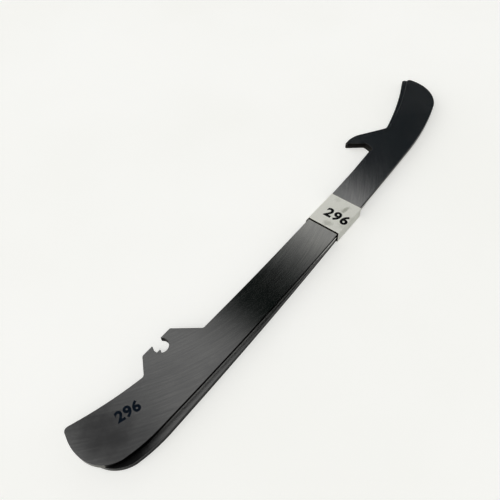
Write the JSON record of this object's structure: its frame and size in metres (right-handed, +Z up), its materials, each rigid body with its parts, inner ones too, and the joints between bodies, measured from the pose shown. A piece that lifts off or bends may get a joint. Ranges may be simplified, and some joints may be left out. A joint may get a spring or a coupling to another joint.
{
  "type": "hockey skate blade pair",
  "caption": "Hockey skate runners of satin steel, stacked flat with the lower one swung slightly out, held by a loose white paper band.",
  "frame": {"origin": "on the table, under the middle of the paper band", "axes": "+X along the upper runner towards its toe, +Y towards its tab and hook, +Z up through the stack"},
  "size_m": [0.2979, 0.0398, 0.0074],
  "materials": {
    "runner_steel": "satin, with the broad arcs of a face grinder",
    "band_paper": "matte"
  },
  "bodies": {
    "upper": {"upper_blade": "runner_steel"},
    "lower": {"lower_blade": "runner_steel"},
    "band": {"label_band": "band_paper"}
  },
  "joints": [
    {"name": "blade_fan", "type": "hinge", "parent": "upper", "child": "lower", "pos_m": [0.0024, 0.00055, 0.00182], "axis": [0, 0, 1], "range_deg": [-3.08, 0.12]},
    {"name": "band_slide", "type": "slide", "parent": "upper", "child": "band", "axis": [1, 0, 0], "range_m": [-0.006, 0.006]}
  ]
}
